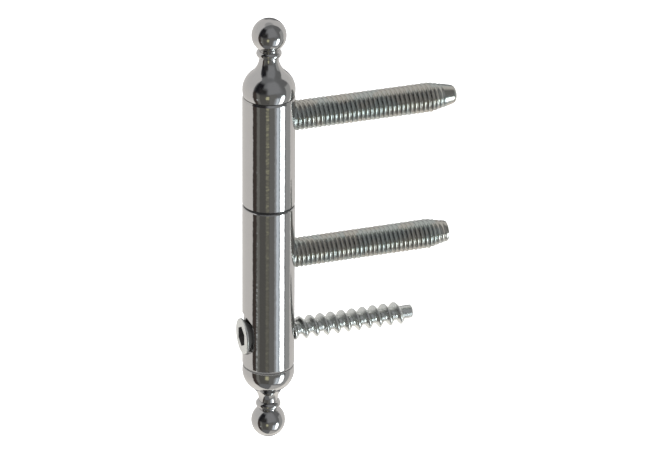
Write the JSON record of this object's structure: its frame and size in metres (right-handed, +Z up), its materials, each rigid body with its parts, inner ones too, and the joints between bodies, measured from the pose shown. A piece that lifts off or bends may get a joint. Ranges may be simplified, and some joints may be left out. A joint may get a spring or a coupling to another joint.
{
  "type": "decorative screw-on hinge",
  "caption": "Lift-off barrel hinge with ball finials, threaded pegs for door leaf and frame, and a coarse anchor screw through the lower barrel.",
  "frame": {"origin": "on the frame peg's axis, where the peg leaves the crown of the lower barrel", "axes": "+Z up along the barrel towards the leaf half, +X along the pegs, out of the barrel and into the wood, +Y completes a right-handed set"},
  "size_m": [0.0596, 0.014, 0.1219],
  "materials": {
    "chrome_plate": "bright nickel-chrome plate, polished",
    "zinc_peg": "bright zinc plate on rolled thread, faint blue passivation",
    "zinc_screw": "satin zinc plate",
    "pin_steel": "ground bright steel, lightly greased",
    "bush_plastic": "black moulded polyamide"
  },
  "bodies": {
    "frame_half": {"frame_barrel": "chrome_plate", "frame_peg": "zinc_peg", "pivot_pin": "pin_steel", "frame_finial": "chrome_plate"},
    "screw": {"anchor_screw": "zinc_screw"},
    "bush": {"bearing_bush": "bush_plastic"},
    "leaf_half": {"leaf_barrel": "chrome_plate", "leaf_peg": "zinc_peg", "leaf_finial": "chrome_plate"}
  },
  "joints": [
    {"name": "door_swing", "type": "hinge", "parent": "frame_half", "child": "bush", "pos_m": [-0.007, 0, 0.0155], "axis": [0, 0, 1], "continuous": true},
    {"name": "lift_off", "type": "slide", "parent": "bush", "child": "leaf_half", "axis": [0, 0, 1], "range_m": [0, 0.02]},
    {"name": "screw_turn", "type": "hinge", "parent": "frame_half", "child": "screw", "pos_m": [0, 0, -0.0226], "axis": [1, 0, 0], "continuous": true}
  ]
}
